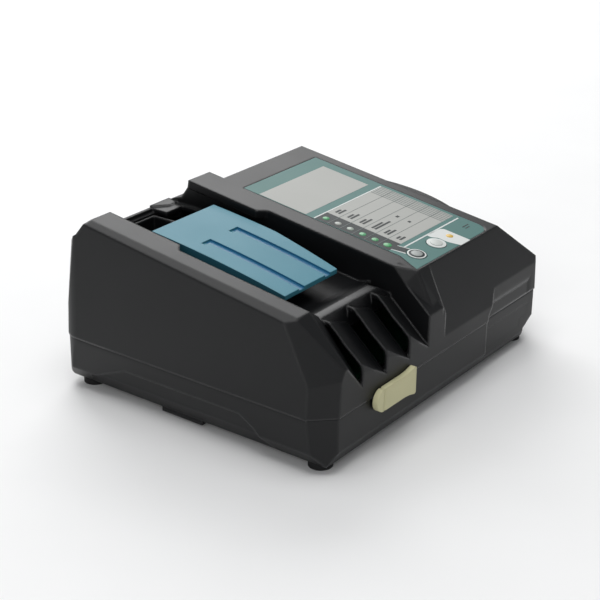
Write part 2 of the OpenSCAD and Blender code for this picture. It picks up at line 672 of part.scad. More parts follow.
module terminal_blades() {
    color("gold") on_top() for (s = [-1, 1]) translate([bay_x + s * blade_x, 0, 0]) difference() {
        box(-0.5, 0.5, slope_y(stop_y + 1), slope_y(stop_y + 23), -bay_depth - wall - 12, -7.8);
        translate([0, slope_y(stop_y + 1), -7.8]) rotate([45, 0, 0]) cube([3, 2, 2], center = true);
    }
}
module signal_connector() {
    color("gold") on_top() {
        difference() {
            box(bay_x - 4, bay_x + 4, slope_y(stop_y + 4), slope_y(stop_y + 18), -bay_depth - 2.7,
                -bay_depth + 3.6);
            for (i = [-1 : 1])
                box(bay_x + i * 2.4 - 0.6, bay_x + i * 2.4 + 0.6, slope_y(stop_y + 4) - 1,
                    slope_y(stop_y + 15), -bay_depth + 1, -bay_depth + 5);
        }
    }
}

module air_duct() {
    t = 1.4;
    color(grey) difference() {
        union() {
            box(duct_x0, duct_x1, duct_y0, duct_y1, fan_top, rear_rim_z - 2.4);
            box(duct_x0, duct_x1, fan_y - fan_w / 2 - 1, duct_y0 + 2, fan_top, fan_top + 5);
        }
        box(duct_x0 + t, duct_x1 - t, duct_y0 + t, duct_y1 - t, fan_top + t, inner_top);
        box(duct_x0 + t, duct_x1 - t, fan_y - fan_w / 2 - 1 + t, duct_y0 + 3, fan_top + t, fan_top + 5 - t);
        translate([fan_x, fan_y, fan_top - 1]) cylinder(r = fan_w / 2 - 1.9, h = 4);
    }
}
module fan_frame() {
    z0 = fan_top - fan_t;
    color(grey) translate([fan_x, fan_y, z0]) {
        difference() {
            translate([-fan_w / 2, -fan_w / 2, 0]) cube([fan_w, fan_w, fan_t]);
            translate([0, 0, -1]) cylinder(r = fan_w / 2 - 1.6, h = fan_t + 2);
            for (x = [-1, 1], y = [-1, 1])
                translate([x * (fan_w / 2 - 4), y * (fan_w / 2 - 4), -1]) cylinder(r = 1.7, h = fan_t + 2);
        }
        cylinder(r = 9, h = 2);
        for (a = [45 : 90 : 315]) rotate([0, 0, a]) translate([8, -1, 0]) cube([fan_w / 2 - 8.6, 2, 1.8]);
        cylinder(r = 1, h = fan_t - 2);
    }
    // arms that carry the fan, standing in the lower half
    color(grey) for (x = [-1, 1]) translate([fan_x + x * (fan_w / 2 - 4), fan_y - fan_w / 2 + 1.5, 0])
        box(-2, 2, 0, 2.5, board_z + board_t, z0);
}
module fan_rotor() {
    z0 = fan_top - fan_t;
    blades = 7;
    color("dimgray") translate([fan_x, fan_y, z0]) difference() {
        union() {
            translate([0, 0, 2.4]) cylinder(r = 9.4, h = fan_t - 3);
            intersection() {
                translate([0, 0, 2.6]) cylinder(r = fan_w / 2 - 2.3, h = fan_t - 3.4);
                for (i = [0 : blades - 1]) rotate([0, 0, i * 360 / blades])
                    translate([8, 0, fan_t / 2 + 1]) rotate([42, 0, 0]) translate([0, -6,
                        -0.5]) cube([12, 12, 1]);
            }
        }
        translate([0, 0, -1]) cylinder(r = 1.05, h = fan_t - 0.6);
    }
}

module panel_label() {
    color("#6d918c") on_top() difference() {
        translate([0, 0, -label_t]) linear_extrude(label_t) label_shape(0);
        for (p = lamp_places()) translate([p[0], slope_y(p[1]), -5]) cylinder(r = lamp_r + 0.15, h = 10);
        for (x = [sound_x, usb_button_x]) translate([x, slope_y(button_y),
            -5]) cylinder(r = button_r + fit, h = 10);
    }
}
module lamp_windows() {
    color("palegreen") on_top() for (p = lamp_places()) translate([p[0], slope_y(p[1]), 0]) {
        translate([0, 0, -panel_board_drop + 2.4]) cylinder(r = lamp_r, h = panel_board_drop - 2.4);
        translate([0, 0, -panel_board_drop + 2.4]) cylinder(r = lamp_r + 0.6,
            h = panel_board_drop - 2.4 - wall - 0.4);
    }
}
// A push button with its retaining flange and stem, z = 0 on the panel
module push_button(tint) {
    color(tint) {
        translate([0, 0, -wall - 1]) cylinder(r = button_r, h = wall + 0.9);
        translate([0, 0, -0.4]) cylinder(r = button_r - 0.5, h = 0.6);
        translate([0, 0, -wall - 1.6]) cylinder(r = button_r + 1.4, h = 1.5);
        translate([0, 0, -panel_board_drop + 3.2 + button_travel]) cylinder(r = 1.5,
            h = panel_board_drop - 3 - wall);
    }
}
module sound_button() {
    on_top() translate([sound_x, slope_y(button_y), 0]) push_button("dimgray");
}
module usb_button() {
    on_top() translate([usb_button_x, slope_y(button_y), 0]) push_button("whitesmoke");
}
module panel_board() {
    color("darkgreen") on_top() difference() {
        box(panel_x0 - 1, panel_x0 + 55, slope_y(panel_front_y + 3.5), slope_y(1),
            -panel_board_drop - board_t, -panel_board_drop);
        for (p = panel_posts()) translate([p[0], p[1], -30]) cylinder(r = 1.3, h = 30);
    }
    // lamps and the two switches on the board
    color(grey) on_top() {
        for (p = lamp_places()) translate([p[0], slope_y(p[1]),
            -panel_board_drop - 0.01]) cylinder(r = 1.5, h = 2.1);
        for (x = [sound_x, usb_button_x]) translate([x, slope_y(button_y), -panel_board_drop - 0.01]) {
            translate([-3, -3, 0]) cube([6, 6, 2.4]);
            cylinder(r = 1.7, h = 3);
        }
    }
}
module panel_board_screws() {
    color("silver") on_top() for (p = panel_posts()) translate([p[0], p[1], -panel_board_drop - board_t]) {
        translate([0, 0, -1.8]) cylinder(r = 2.4, h = 1.8);
        cylinder(r = 1, h = board_t + 5);
    }
}
module sounder() {
    color(black) on_top() translate([panel_x0 + 34, slope_y(-22), -panel_board_drop]) difference() {
        cylinder(r = 6, h = 5.5);
        translate([0, 0, 3]) cylinder(r = 1.2, h = 4);
    }
}

module usb_socket() {
    y0 = -half_d + 1;
    color("silver") difference() {
        box(usb_x - 6.6, usb_x + 6.6, y0, y0 + 14, usb_z - 2.85, usb_z + 2.85);
        box(usb_x - 6.2, usb_x + 6.2, y0 - 1, y0 + 11, usb_z - 2.45, usb_z + 2.45);
    }
    color("white") box(usb_x - 5.6, usb_x + 5.6, y0 + 3, y0 + 12, usb_z + 0.3, usb_z + 2.1);
}
module usb_board() {
    color("darkgreen") box(usb_x - 14.5, usb_x + 13, -half_d + wall + 1.2, -48, usb_z - 2.85 - board_t,
        usb_z - 2.85);
}

cap_x0 = usb_x - 14;
cap_len = 30;
cap_z = usb_z + 1.1;
hinge_x = cap_x0 + 6.5;
hinge_r = 1.3;
hinge_y = -half_d - fit - hinge_r;
module cap_plate(x0, x1) {
    r = cap_h / 2;
    intersection() {
        translate([0, -half_d - fit, 0]) rotate([90, 0, 0]) linear_extrude(cap_t - fit) union() {
            translate([cap_x0 + r, cap_z]) circle(r);
            polygon([[cap_x0 + r, cap_z - r], [cap_x0 + cap_len - 9, cap_z - r], [cap_x0 + cap_len - 5,
                cap_z - r - 0.4],
                [cap_x0 + cap_len - 1, cap_z - r - 1.4], [cap_x0 + cap_len, cap_z - r - 0.9],
                [cap_x0 + cap_len, cap_z + r + 0.9], [cap_x0 + cap_len - 1, cap_z + r + 1.4],
                [cap_x0 + cap_len - 5, cap_z + r + 0.4], [cap_x0 + cap_len - 9, cap_z + r],
                    [cap_x0 + r, cap_z + r]]);
        }
        box(x0, x1, -half_d - 10, 0, 0, 60);
    }
}
// Rubber cap: a rolled edge at its hinge, flared to a finger tab at the other end, with a plug behind
module usb_cap() {
    color("#d9d6b4") {
        cap_plate(hinge_x, cap_x0 + cap_len + 1);
        translate([hinge_x, hinge_y, cap_z - cap_h / 2]) cylinder(r = hinge_r, h = cap_h);
        box(usb_x - 5.6, usb_x + 5.6, -half_d - fit - 0.5, -half_d + 3, usb_z - 2.1, usb_z - 0.1);
    }
}
// Fixed round end beside the cap's hinge, held by a stem in the lower half
module cap_anchor() {
    color("#d9d6b4") {
        cap_plate(cap_x0 - 1, hinge_x - hinge_r - fit);
        translate([cap_x0 + 3, -half_d - fit - 0.5, cap_z - 2.5]) rotate([-90, 0, 0]) cylinder(r = 1.2,
            h = 4);
    }
}

module main_board() {
    color("darkgreen") difference() {
        box(-74, 74, -44, 66, board_z, board_z + board_t);
        for (p = board_posts()) translate([p[0], p[1], 0]) cylinder(r = 1.6, h = 30);
    }
}
module board_screws() {
    color("silver") for (p = board_posts()) translate([p[0], p[1], board_z + board_t]) {
        cylinder(r = 2.9, h = 2);
        translate([0, 0, -board_t - 4.5]) cylinder(r = 1.25, h = board_t + 5);
    }
}
on_board = board_z + board_t;
core_x = 22;
core_y = 24;
module transformer_core() {
    color(grey) translate([core_x, core_y, on_board + 3]) difference() {
        translate([-19, -8, 0]) cube([38, 16, 28]);
        for (s = [-1, 1]) translate([s * 10.5 - 4.5, -9, 5]) cube([9, 18, 18]);
    }
}
module transformer_winding() {
    color("orange") translate([core_x, core_y, on_board]) difference() {
        union() {
            translate([-14.6, -14, 8.4]) cube([29.2, 28, 17.2]);
            translate([-14.6, -14, 0]) cube([29.2, 5.5, 9]);
            translate([-14.6, 8.5, 0]) cube([29.2, 5.5, 9]);
        }
        translate([-6.2, -9, 0]) cube([12.4, 18, 40]);
        for (s = [-1, 1]) translate([s * 18.6 - 3.7, -8.4, 0]) cube([7.4, 16.8, 40]);
    }
}
module heatsink() {
    color("lightgray") translate([62, 22, on_board]) {
        translate([-1.5, -22, 0]) cube([3, 44, 30]);
        for (i = [0 : 6]) translate([-9, -22 + 7 * i, 0]) cube([18, 2, 30]);
    }
}
module power_transistors() {
    color(black) for (y = [5.5, 33.5]) translate([63.6, y - 1.6, on_board]) {
        translate([0, -1.6, 4]) cube([4.5, 4.6, 15]);
        for (z = [0, 2.2]) translate([1.5, -1.4 + z, 0]) cube([0.8, 0.8, 5]);
    }
}
module bulk_capacitor() {
    color("midnightblue") translate([52, -24, on_board]) cylinder(r = 11, h = 33);
}
module filter_capacitor() {
    color("gold") translate([-8, 48, on_board]) cube([26, 13, 20]);
}
module mains_fuse() {
    color("silver") translate([34, 58, on_board + 4]) rotate([0, 90, 0]) {
        cylinder(r = 2.6, h = 5.5);
        translate([0, 0, 14.5]) cylinder(r = 2.6, h = 5.5);
        cylinder(r = 2.3, h = 20);
    }
    color("silver") for (x = [36, 50.5]) translate([x, 56.5, on_board]) cube([1.5, 3, 4]);
}
module smoothing_choke() {
    color("orange") translate([-38, -14, on_board]) difference() {
        cylinder(r = 13, h = 12);
        translate([0, 0, -1]) cylinder(r = 6, h = 14);
    }
}

module rubber_feet() {
    color("#111111") for (p = foot_places()) translate([p[0], p[1], 0]) {
        cylinder(r = foot_r, h = foot_h);
        cylinder(r = foot_r - 0.7, h = foot_h + 1);
    }
}
module case_screws() {
    color("silver") at_screws() {
        translate([0, 0, 15 - 2.6]) difference() {
            cylinder(r = 3.2, h = 2.6);
            translate([0, 0, -0.1]) for (a = [0, 90]) rotate([0, 0, a]) translate([-0.4, -1.9,
                0]) cube([0.8, 3.8, 1.3]);
        }
        cylinder_z(screw_r, 14, post_top - 4);
    }
}
module cylinder_z(r, z0, z1) {
    translate([0, 0, z0]) cylinder(r = r, h = z1 - z0);
}
module cord_gland() {
    color(black) translate([gland_x, half_d, gland_z]) rotate([-90, 0, 0]) difference() {
        union() {
            translate([0, 0, -wall - 3]) cylinder(r = cord_r + 2, h = wall + 4);
            translate([0, 0, -parting_step]) cylinder(r = cord_r + 3.6, h = cap_t + parting_step);
            translate([0, 0, -wall - 5.5]) cylinder(r = cord_r + 2.5, h = 4.5);
        }
        translate([0, 0, -20]) cylinder(r = cord_r, h = 40);
    }
}

upper_case();
lower_case();
terminal_cover();
cover_springs();
terminal_block();
terminal_blades();
signal_connector();
air_duct();
fan_frame();
fan_rotor();
panel_label();
lamp_windows();
sound_button();
usb_button();
panel_board();
panel_board_screws();
sounder();
usb_socket();
usb_board();
usb_cap();
cap_anchor();
main_board();
board_screws();
transformer_core();
transformer_winding();
heatsink();
power_transistors();
bulk_capacitor();
filter_capacitor();
mains_fuse();
smoothing_choke();
rubber_feet();
case_screws();
cord_gland();
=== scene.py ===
import math

import bmesh
import bpy
from mathutils import Matrix, Vector


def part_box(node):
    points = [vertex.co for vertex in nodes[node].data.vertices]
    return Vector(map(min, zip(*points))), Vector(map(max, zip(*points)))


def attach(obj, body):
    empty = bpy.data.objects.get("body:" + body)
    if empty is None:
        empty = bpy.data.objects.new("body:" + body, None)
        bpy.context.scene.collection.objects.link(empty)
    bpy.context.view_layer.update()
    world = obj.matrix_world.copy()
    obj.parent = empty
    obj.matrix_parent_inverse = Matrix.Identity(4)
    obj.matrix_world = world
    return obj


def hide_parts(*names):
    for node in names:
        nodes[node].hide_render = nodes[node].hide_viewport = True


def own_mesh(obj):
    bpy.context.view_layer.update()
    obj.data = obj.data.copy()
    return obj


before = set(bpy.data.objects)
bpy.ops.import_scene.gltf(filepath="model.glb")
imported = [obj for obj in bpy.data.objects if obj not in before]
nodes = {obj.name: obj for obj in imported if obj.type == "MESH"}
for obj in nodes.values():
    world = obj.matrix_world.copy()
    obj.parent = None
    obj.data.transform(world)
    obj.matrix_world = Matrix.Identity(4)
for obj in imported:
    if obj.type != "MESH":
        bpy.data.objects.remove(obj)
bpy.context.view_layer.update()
scene = bpy.context.scene
MM = 0.001

# ---- camera -----------------------------------------------------------------
# A long lens, high and to the front left, as the product was photographed.
yaw, pitch, roll = math.radians(36.264), math.radians(23.818), math.radians(0.627)
camera_place = (-0.53883, -0.38827, 0.32375)
forward = Vector((math.cos(yaw) * math.cos(pitch), math.sin(yaw) * math.cos(pitch), -math.sin(pitch)))
level = Vector((math.sin(yaw), -math.cos(yaw), 0))
upright = level.cross(forward)
right = level * math.cos(roll) + upright * math.sin(roll)
up = -level * math.sin(roll) + upright * math.cos(roll)
lens = bpy.data.cameras.new("camera")
lens.sensor_width = 36
lens.lens = 91.87
lens.clip_start = 0.01
camera = bpy.data.objects.new("camera", lens)
camera_rows = [(right[k], up[k], -forward[k], camera_place[k]) for k in range(3)]
camera.matrix_world = Matrix(camera_rows + [(0, 0, 0, 1)])
scene.collection.objects.link(camera)
scene.camera = camera

# ---- studio -----------------------------------------------------------------
# Plain soft light: a broad lamp high behind, whose gloss lies on the sloping tops, one straight above and a
# weaker one at the front left. An even pale world fills the shadows and the far floor.
scene.view_settings.view_transform = "Standard"
scene.view_settings.look = "None"
lamps_aim = Vector((0, 0, 0.04))        # the middle of the charger
world_level = 0.3
floor_reach = 6                         # metres from the charger to the floor's edge


def linear(hex_code):
    """sRGB hex to linear RGBA."""
    out = []
    for i in (1, 3, 5):
        part = int(hex_code[i:i + 2], 16) / 255
        out.append(part / 12.92 if part <= 0.04045 else ((part + 0.055) / 1.055) ** 2.4)
    return (*out, 1)


def add(tree, kind, links=(), **values):
    """A shader node with its settings, and links from other nodes' outputs into its inputs."""
    node = tree.nodes.new("ShaderNode" + kind)
    for key, value in values.items():
        key = key.replace("_", " ") if key.replace("_", " ") in node.inputs else key
        if key in node.inputs:
            node.inputs[key].default_value = value
        else:
            setattr(node, key, value)
    for source, output, socket in links:
        tree.links.new(source.outputs[output], node.inputs[socket])
    return node


def lamp(name, place, size, watts):
    """A rectangular area lamp aimed at the charger; place and size in metres."""
    panel = bpy.data.lights.new(name, "AREA")
    panel.shape = "RECTANGLE"
    panel.size, panel.size_y = size
    panel.energy = watts
    stand = bpy.data.objects.new(name, panel)
    stand.location = place
    stand.rotation_euler = (lamps_aim - Vector(place)).to_track_quat("-Z", "Y").to_euler()
    scene.collection.objects.link(stand)


lamp("sky panel", (0.75, 0.85, 0.85), (1.1, 0.9), 12.5)
lamp("top panel", (-0.15, -0.05, 1.1), (0.8, 0.8), 6)
lamp("front panel", (-0.9, -0.35, 0.45), (0.5, 0.6), 2)

world = bpy.data.worlds.new("studio")
scene.world = world
world.use_nodes = True
back = world.node_tree.nodes["Background"]
back.inputs["Color"].default_value = linear("#f6f8fa")
back.inputs["Strength"].default_value = world_level

# The floor is matt white paper, with hardly any gloss and a tone that wanders very slightly.
paper = bpy.data.materials.new("matt white paper")
paper.use_nodes = True
tree = paper.node_tree
shader = tree.nodes["Principled BSDF"]
shader.inputs["Roughness"].default_value = 0.9
coord = add(tree, "TexCoord")
cloud = add(tree, "TexNoise", [(coord, "Object", "Vector")], Scale=14.0, Detail=2.0)
tint = add(tree, "Mix", [(cloud, "Fac", "Factor")], data_type="RGBA")
tint.inputs[6].default_value = linear("#f1f1f1")
tint.inputs[7].default_value = linear("#f6f6f6")
tree.links.new(tint.outputs[2], shader.inputs["Base Color"])
mesh = bpy.data.meshes.new("floor")
bm = bmesh.new()
bmesh.ops.create_grid(bm, x_segments=1, y_segments=1, size=floor_reach)
bm.to_mesh(mesh)
bm.free()
floor = bpy.data.objects.new("floor", mesh)
scene.collection.objects.link(floor)
mesh.materials.append(paper)

# ---- case halves ------------------------------------------------------------
# Two injection moulded halves in black glass-filled nylon: satin, with a fine eroded grain that catches the
# light, and edges painted paler as a highlight and made a little smoother than the faces.
GRAIN = 0.8                             # mm; the real grain is 0.1 mm, drawn coarser so that it shows
GRAIN_DEPTH = 0.05                      # mm
HIGHLIGHT_STARTS, HIGHLIGHT_FULL = 0.995, 0.8       # cosine of the turn at an edge where the painted highlight starts and is full
PALER_TIMES, PALER_BY = 1.6, 0.05       # painted highlights on edges tend to the face's linear colour times and plus these
GLOSS_RANGE = 0.08                      # share by which the roughness wanders either way


def moulded(name, colour, rough, edge=0.7, grain=GRAIN, relief=0.1, highlight_level=0.35, mottle=0.07, cloud_size=35,
            metal=0.0, spec=0.5):
    """A moulded or pressed surface with painted highlights on its edges; edge, grain and cloud_size are in
    mm.
    """
    material = bpy.data.materials.new(name)
    material.use_nodes = True
    tree = material.node_tree
    shader = tree.nodes["Principled BSDF"]
    shader.inputs["Metallic"].default_value = metal
    shader.inputs["Specular IOR Level"].default_value = spec
    coord = add(tree, "TexCoord")
    cloud = add(tree, "TexNoise", [(coord, "Object", "Vector")], Scale=1000 / cloud_size, Detail=4.0)
    fine = add(tree, "TexNoise", [(coord, "Object", "Vector")], Scale=1000 / grain, Detail=2.0)
    # an edge shows where the rounded normal leaves the face's own
    rounded = add(tree, "Bevel", Radius=edge * MM, samples=6)
    face = add(tree, "NewGeometry")
    turn = add(tree, "VectorMath", [(rounded, "Normal", 0), (face, "True Normal", 1)],
               operation="DOT_PRODUCT")
    # the painted highlight along edges: a mask that turns the colour paler and lowers the roughness
    highlight_mask = add(tree, "MapRange", [(turn, "Value", "Value")], From_Min=HIGHLIGHT_STARTS, From_Max=HIGHLIGHT_FULL,
                 To_Max=highlight_level)
    red, green, blue, _ = linear(colour)
    tone = add(tree, "Mix", [(cloud, "Fac", "Factor")], data_type="RGBA")
    for socket, share in ((6, 1 - mottle), (7, 1 + mottle)):
        tone.inputs[socket].default_value = (red * share, green * share, blue * share, 1)
    # painted highlight: the face's colour turns paler towards its edges
    painted_highlight = add(tree, "Mix", [(highlight_mask, "Result", "Factor"), (tone, 2, 6)], data_type="RGBA")
    painted_highlight.inputs[7].default_value = (*[part * PALER_TIMES + PALER_BY for part in (red, green, blue)], 1)
    gloss = add(tree, "MapRange", [(cloud, "Fac", "Value")], To_Min=rough * (1 + GLOSS_RANGE),
                To_Max=rough * (1 - GLOSS_RANGE))
    polish = add(tree, "Math", [(gloss, "Result", 0), (highlight_mask, "Result", 1)], operation="SUBTRACT",
                 use_clamp=True)
    bump = add(tree, "Bump", [(fine, "Fac", "Height"), (rounded, "Normal", "Normal")],
               Strength=relief, Distance=GRAIN_DEPTH * MM)
    tree.links.new(painted_highlight.outputs[2], shader.inputs["Base Color"])
    tree.links.new((polish if highlight_level > 0.1 and not metal else gloss).outputs[0], shader.inputs["Roughness"])
    tree.links.new(bump.outputs["Normal"], shader.inputs["Normal"])
    return material


def finish(material, *names):
    """Give CAD nodes their material."""
    for name in names:
        nodes[name].data.materials.clear()
        nodes[name].data.materials.append(material)


nylon = moulded("black glass-filled nylon, moulded", "#0a0b0d", 0.46, edge=1.8, relief=0.16, highlight_level=0.4,
                spec=0.35)
finish(nylon, "upper_case", "lower_case", "air_duct", "fan_frame", "sounder", "power_transistors")

# ---- terminal cover ---------------------------------------------------------
# A sliding shutter in moulded blue ABS, arched along its length. Its two sunk tracks are smoother, with
# painted shade making them a deeper blue, and its side walls are painted in their own shade.
top_fall = math.radians(8)              # slope of the charger's top
crest_inset = 16.7                      # from the case's rear to the crest of its top, mm
track_gap, track_width = 19, 3.7        # mm
track_floor = -9                        # the faces of a track lie above this height, mm
track_rear = 17                         # and in front of this place along the slope, mm
track_face = 120                        # and each is smaller than this, mm2
track_slack = 0.05                      # mm
side_wall = 6                           # the side walls lie within this of the cover's sides, mm
merge_within = 0.002                    # points of the CAD's triangles nearer than this are one, mm


def made(name, *materials):
    """A new object in the scene with these materials."""
    piece = bpy.data.objects.new(name, bpy.data.meshes.new(name))
    scene.collection.objects.link(piece)
    for material in materials:
        piece.data.materials.append(material)
    return piece


def keep(bm, piece, body, smooth=30):
    """Write the bmesh to its object, smooth up to an angle, riding on a body."""
    for face in bm.faces:
        face.smooth = True
    for edge in bm.edges:
        edge.smooth = edge.calc_face_angle(math.pi) < math.radians(smooth)
    bm.to_mesh(piece.data)
    bm.free()
    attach(piece, body)


cover_blue = moulded("blue ABS, moulded", "#34788a", 0.5, edge=0.5, relief=0.08, highlight_level=0.15, spec=0.4)
# the tracks' deeper blue is painted shade
track_shade_blue = moulded("blue ABS, track in painted shade", "#216488", 0.36, edge=0.3, relief=0.05, highlight_level=0.1,
                     spec=0.4)
side_blue = moulded("blue ABS, shaded side wall", "#2c6374", 0.45, edge=0.4, relief=0.08, highlight_level=0.1,
                    spec=0.4)

_, case_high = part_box("upper_case")
crest_y, crest_z = case_high[1] - crest_inset * MM, case_high[2]
# from the plane of the top (x across, y up the slope, z off it, in mm) to the frame
ON_TOP = (Matrix.Translation((0, crest_y, crest_z)) @ Matrix.Rotation(top_fall, 4, "X")
          @ Matrix.Translation((0, -crest_y / math.cos(top_fall), 0)) @ Matrix.Scale(MM, 4))
TO_TOP = ON_TOP.inverted()

cover_low, cover_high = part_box("terminal_cover")
cover_x = (cover_low[0] + cover_high[0]) / 2 / MM
cover_half = (cover_high[0] - cover_low[0]) / 2 / MM
cover = made("cover_shutter", cover_blue, track_shade_blue, side_blue)
bm = bmesh.new()
bm.from_mesh(nodes["terminal_cover"].data)
bmesh.ops.remove_doubles(bm, verts=bm.verts, dist=merge_within * MM)
bmesh.ops.dissolve_limit(bm, angle_limit=math.radians(0.5), verts=bm.verts, edges=bm.edges)
for face in bm.faces:
    middle = TO_TOP @ face.calc_center_median()
    from_axis = middle.x - cover_x
    over_track = any(abs(from_axis - side * track_gap / 2) < track_width / 2 + track_slack
                     for side in (-1, 1))
    in_track = over_track and middle.z > track_floor and middle.y < track_rear
    # faces in a track get the deeper blue of painted shade, and the side walls a painted shade of their own
    if in_track and face.normal.z > -0.1 and face.calc_area() < track_face * MM * MM:
        face.material_index = 1
    elif abs(face.normal.x) > 0.9 and abs(from_axis) > cover_half - side_wall:
        face.material_index = 2
keep(bm, cover, "cover")
cover.modifiers.new("even normals", "WEIGHTED_NORMAL").keep_sharp = True
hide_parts("terminal_cover")

# ---- cover springs ----------------------------------------------------------
# Two compression springs, wound cold from plated steel wire, one at each side under the cover in front of
# its runners. They are squeezed as the cover slides open.
steel = moulded("plated steel, drawn or pressed", "#b9bbbd", 0.3, edge=0.15, grain=0.5, relief=0.05,
                highlight_level=0.1, metal=1)
turns, wire_r, coil_r = 15, 0.35, 2.05  # radii in mm, the coil's to the middle of its wire
steps_a_turn = 20
end_gap = 0.3                           # from each end of a coil to the end of the CAD's spring, mm
spring_low, spring_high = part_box("cover_springs")
spring_end = TO_TOP @ Vector((0, spring_low[1], spring_low[2]))
spring_start = TO_TOP @ Vector((0, spring_high[1], spring_high[2]))
spring_len = spring_start.y - spring_end.y - 2 * wire_r - 2 * end_gap
spring_z = (spring_end.z + spring_start.z) / 2
spring_inset = coil_r + wire_r
steps = turns * steps_a_turn
bm = bmesh.new()
for x in (spring_low[0] / MM + spring_inset, spring_high[0] / MM - spring_inset):
    wire = bmesh.ops.create_circle(bm, segments=8, radius=wire_r, cap_ends=False)["verts"]
    bmesh.ops.rotate(bm, verts=wire, cent=(0, 0, 0), matrix=Matrix.Rotation(math.pi / 2, 3, "X"))
    bmesh.ops.translate(bm, verts=wire, vec=(coil_r, 0, 0))
    bmesh.ops.rotate(bm, verts=wire, cent=(0, 0, 0), matrix=Matrix.Rotation(math.pi / 2, 3, "X"))
    bmesh.ops.translate(bm, verts=wire, vec=(x, spring_end.y + wire_r + end_gap, spring_z))
    edges = list({edge for vert in wire for edge in vert.link_edges})
    bmesh.ops.spin(bm, geom=edges, cent=(x, 0, spring_z), axis=(0, 1, 0), dvec=(0, spring_len / steps, 0),
                   angle=2 * math.pi * turns, steps=steps, use_merge=False)
bmesh.ops.holes_fill(bm, edges=[edge for edge in bm.edges if edge.is_boundary], sides=0)
bmesh.ops.transform(bm, matrix=ON_TOP, verts=bm.verts)
bmesh.ops.recalc_face_normals(bm, faces=bm.faces)
coils = made("cover_spring_coils", steel)
keep(bm, coils, "case", 60)
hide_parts("cover_springs")
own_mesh(coils)

# ---- terminals --------------------------------------------------------------
# Grey nylon block under the bay floor with two charging blades and the signal connector in stamped nickel
# silver, a warm white metal.
grey_nylon = moulded("grey nylon, moulded", "#45484b", 0.5, edge=0.4)
contact = moulded("nickel silver, stamped", "#c8b98c", 0.28, edge=0.15, grain=0.4, relief=0.04, highlight_level=0.1,
                  metal=1)
finish(grey_nylon, "terminal_block")
finish(contact, "terminal_blades", "signal_connector")

# ---- fan --------------------------------------------------------------------
# The rotor of an axial fan, moulded in black PBT with seven blades; it is smoother than the case. Its frame
# lies under the air duct behind the bay.
fan_black = moulded("black PBT, moulded", "#222326", 0.35, edge=0.3, highlight_level=0.1)
finish(fan_black, "fan_rotor")

# ---- panel label ------------------------------------------------------------
# A printed satin film of polycarbonate, bedded in the panel: teal ground, a large pale field, and a table of
# rows with a lamp each, plain bars in the rows, and white rules above and below.
film_look = dict(grain=1.2, relief=0.03, spec=0.25)
film = moulded("teal polycarbonate film", "#47706c", 0.5, edge=0.3, highlight_level=0.05, mottle=0.04, **film_look)
print_pale = moulded("pale grey print", "#a3a4a0", 0.5, edge=0.1, highlight_level=0.02, mottle=0.03, **film_look)
print_white = moulded("white print", "#cfd2d0", 0.5, edge=0.1, highlight_level=0.02, mottle=0.02, **film_look)
print_dark = moulded("dark print", "#23292a", 0.5, edge=0.1, highlight_level=0.02, mottle=0.04, **film_look)
print_grey = moulded("grey print", "#6a7371", 0.5, edge=0.1, highlight_level=0.02, mottle=0.04, **film_look)
finish(film, "panel_label")
PRINT = 0.05                            # thickness of a printed field, mm

# places on the label as seen from above, mm
label_low, label_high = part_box("panel_label")
panel_x = label_low[0] / MM + 5.0       # the long left edge; the film's front corner reaches 5 mm further
label_right = label_high[0] / MM
front = -65.0
border = panel_x + 0.4                  # the prints' left edge
lamp_x, lamp_pitch, lamp_first = panel_x + 4.5, 6.8, front + 22.9
button_y = front + 9.2
sound_x = panel_x + 7.4
usb_x = sound_x + 16.5
service_x = usb_x + 11.5                # the amber lamp
blank_right, blank_low, blank_high = 46.2, 0.6, 27.6
rows = [lamp_first + i * lamp_pitch for i in range(6)]
table_left, table_right = lamp_x + 5.6, label_right - 2.2
table_low, table_high = rows[0] - lamp_pitch / 2, rows[-1] + lamp_pitch / 2
rule_low, rule_high = -3.5, -3.25       # a row's rule, from the row's middle
stripe_insets, stripe_width = (9.5, 7.8, 6.1, 4.4, 2.7, 1.2), 0.5
bar_inset, bar_near, bar_far = 3.2, 0.3, 1.4
bar_widths = (4.5, 7.0, 12.5, 7.5, 7.0, 6.0)
short_bar = 0.7                         # the upper bar's share of the lower one
mark_x = table_left + 22
note_x = service_x + 13


def slope(y):
    """A length along Y taken up the slope of the top."""
    return y / math.cos(top_fall)


def field(bm, corners, layer=1):
    """A flat printed field on the film, from its corners as seen from above, anticlockwise."""
    face = bm.faces.new([bm.verts.new((x, slope(y), 0)) for x, y in corners])
    face.normal_update()
    raised = bmesh.ops.extrude_face_region(bm, geom=[face])["geom"]
    bmesh.ops.translate(bm, verts=[vert for vert in raised if isinstance(vert, bmesh.types.BMVert)],
                        vec=(0, 0, PRINT * layer))


def rectangle(bm, x0, x1, y0, y1, layer=1):
    """A printed field with its sides along X and Y."""
    field(bm, [(x0, y0), (x1, y0), (x1, y1), (x0, y1)], layer)


def printed(bm, name, material):
    """Lay the fields on the top and keep them as one piece."""
    bmesh.ops.transform(bm, matrix=ON_TOP, verts=bm.verts)
    bmesh.ops.recalc_face_normals(bm, faces=bm.faces)
    keep(bm, made(name, material), "case")


bm = bmesh.new()
rectangle(bm, border, blank_right, blank_low, blank_high)
printed(bm, "label_blank", print_pale)

bm = bmesh.new()
rectangle(bm, table_left, table_right, table_low, table_high)
printed(bm, "label_table", print_pale)

bm = bmesh.new()
rectangle(bm, border, table_left, table_low, table_high)
printed(bm, "label_lamp_column", print_dark)

# rules between the rows and the fine stripes along their right end
bm = bmesh.new()
for y in rows[1:]:
    rectangle(bm, border, table_right, y + rule_low, y + rule_high, 2)
for inset in stripe_insets:
    x = table_right - inset
    rectangle(bm, x, x + stripe_width, table_low + 0.3, table_high - 0.2, 2)
printed(bm, "label_rules", print_grey)

